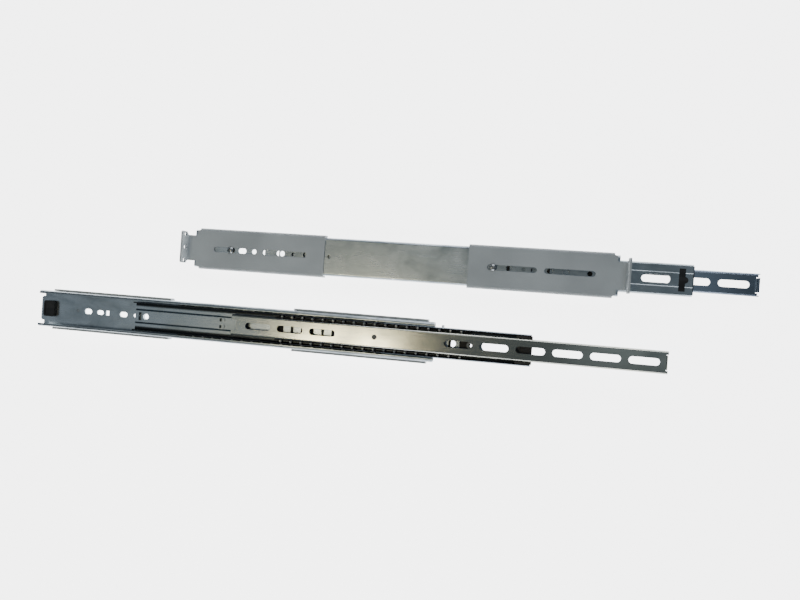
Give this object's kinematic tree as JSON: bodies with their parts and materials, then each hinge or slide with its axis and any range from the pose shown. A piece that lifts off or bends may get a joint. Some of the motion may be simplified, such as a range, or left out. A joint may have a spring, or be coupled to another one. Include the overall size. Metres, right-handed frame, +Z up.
{
  "type": "server rack slide rail pair",
  "caption": "Pair of full-extension ball-bearing slides with slotted rack brackets and a disconnect latch, lying side by side partly drawn out.",
  "frame": {"origin": "centre of the bounding box in X and Y, on the surface that the pair lies on", "axes": "+X along the slides, the way they are drawn out; +Y from the left rail to the right rail; +Z up"},
  "size_m": [0.8566, 0.1406, 0.0327],
  "materials": {
    "outer_zinc": "blue-white zinc plated steel, cloudy",
    "middle_zinc": "zinc plated steel, satin",
    "inner_zinc": "zinc plated steel, bright rolled",
    "bracket_enamel": "matt grey powder coat",
    "black_plastic": "moulded black acetal",
    "cage_strip": "blackened spring steel strip",
    "ball_steel": "polished bearing steel",
    "screw_steel": "zinc plated, turned",
    "lever_steel": "zinc plated stamping"
  },
  "bodies": {
    "rails_fixed": {"left_outer_member": "outer_zinc", "left_rear_bumper": "black_plastic", "left_rear_bracket": "bracket_enamel", "left_front_bracket": "bracket_enamel", "left_rear_screw": "screw_steel", "left_front_screw": "screw_steel", "right_outer_member": "outer_zinc", "right_rear_bumper": "black_plastic", "right_rear_bracket": "bracket_enamel", "right_front_bracket": "bracket_enamel", "right_rear_screw": "screw_steel", "right_front_screw": "screw_steel"},
    "left_outer_cage": {"left_outer_cage": "cage_strip", "left_outer_balls": "ball_steel"},
    "left_middle": {"left_middle_member": "middle_zinc", "left_front_guide": "black_plastic"},
    "left_inner_cage": {"left_inner_cage": "cage_strip", "left_inner_balls": "ball_steel"},
    "left_inner": {"left_inner_member": "inner_zinc", "left_latch_rivet": "screw_steel"},
    "left_latch": {"left_latch_lever": "lever_steel"},
    "right_outer_cage": {"right_outer_cage": "cage_strip", "right_outer_balls": "ball_steel"},
    "right_middle": {"right_middle_member": "middle_zinc", "right_front_guide": "black_plastic"},
    "right_inner_cage": {"right_inner_cage": "cage_strip", "right_inner_balls": "ball_steel"},
    "right_inner": {"right_inner_member": "inner_zinc", "right_latch_rivet": "screw_steel"},
    "right_latch": {"right_latch_lever": "lever_steel"}
  },
  "joints": [
    {"name": "left_middle_slide", "type": "slide", "parent": "rails_fixed", "child": "left_middle", "axis": [1, 0, 0], "range_m": [-0.1132, 0.1108]},
    {"name": "left_outer_cage_slide", "type": "slide", "parent": "rails_fixed", "child": "left_outer_cage", "axis": [1, 0, 0], "range_m": [-0.0566, 0.0554]},
    {"name": "left_inner_slide", "type": "slide", "parent": "left_middle", "child": "left_inner", "axis": [1, 0, 0], "range_m": [-0.1316, 0.1004]},
    {"name": "left_inner_cage_slide", "type": "slide", "parent": "left_middle", "child": "left_inner_cage", "axis": [1, 0, 0], "range_m": [-0.0658, 0.0502]},
    {"name": "left_latch_pivot", "type": "hinge", "parent": "left_inner", "child": "left_latch", "pos_m": [0.01555, -0.045, 0.0302], "axis": [0, 0, -1], "range_deg": [0, 3], "stiffness_Nm_per_rad": 0.2, "springref_deg": -2.86},
    {"name": "right_middle_slide", "type": "slide", "parent": "rails_fixed", "child": "right_middle", "axis": [1, 0, 0], "range_m": [-0.0817, 0.1423]},
    {"name": "right_outer_cage_slide", "type": "slide", "parent": "rails_fixed", "child": "right_outer_cage", "axis": [1, 0, 0], "range_m": [-0.04085, 0.07115]},
    {"name": "right_inner_slide", "type": "slide", "parent": "right_middle", "child": "right_inner", "axis": [1, 0, 0], "range_m": [-0.056, 0.176]},
    {"name": "right_inner_cage_slide", "type": "slide", "parent": "right_middle", "child": "right_inner_cage", "axis": [1, 0, 0], "range_m": [-0.028, 0.088]},
    {"name": "right_latch_pivot", "type": "hinge", "parent": "right_inner", "child": "right_latch", "pos_m": [0.10695, 0.045, 0.0025], "axis": [0, 0, 1], "range_deg": [0, 3], "stiffness_Nm_per_rad": 0.2, "springref_deg": -2.86}
  ],
  "couplings": [
    {"joint": "left_outer_cage_slide", "follows": "left_middle_slide", "ratio": 0.5},
    {"joint": "left_inner_cage_slide", "follows": "left_inner_slide", "ratio": 0.5},
    {"joint": "right_outer_cage_slide", "follows": "right_middle_slide", "ratio": 0.5},
    {"joint": "right_inner_cage_slide", "follows": "right_inner_slide", "ratio": 0.5}
  ]
}
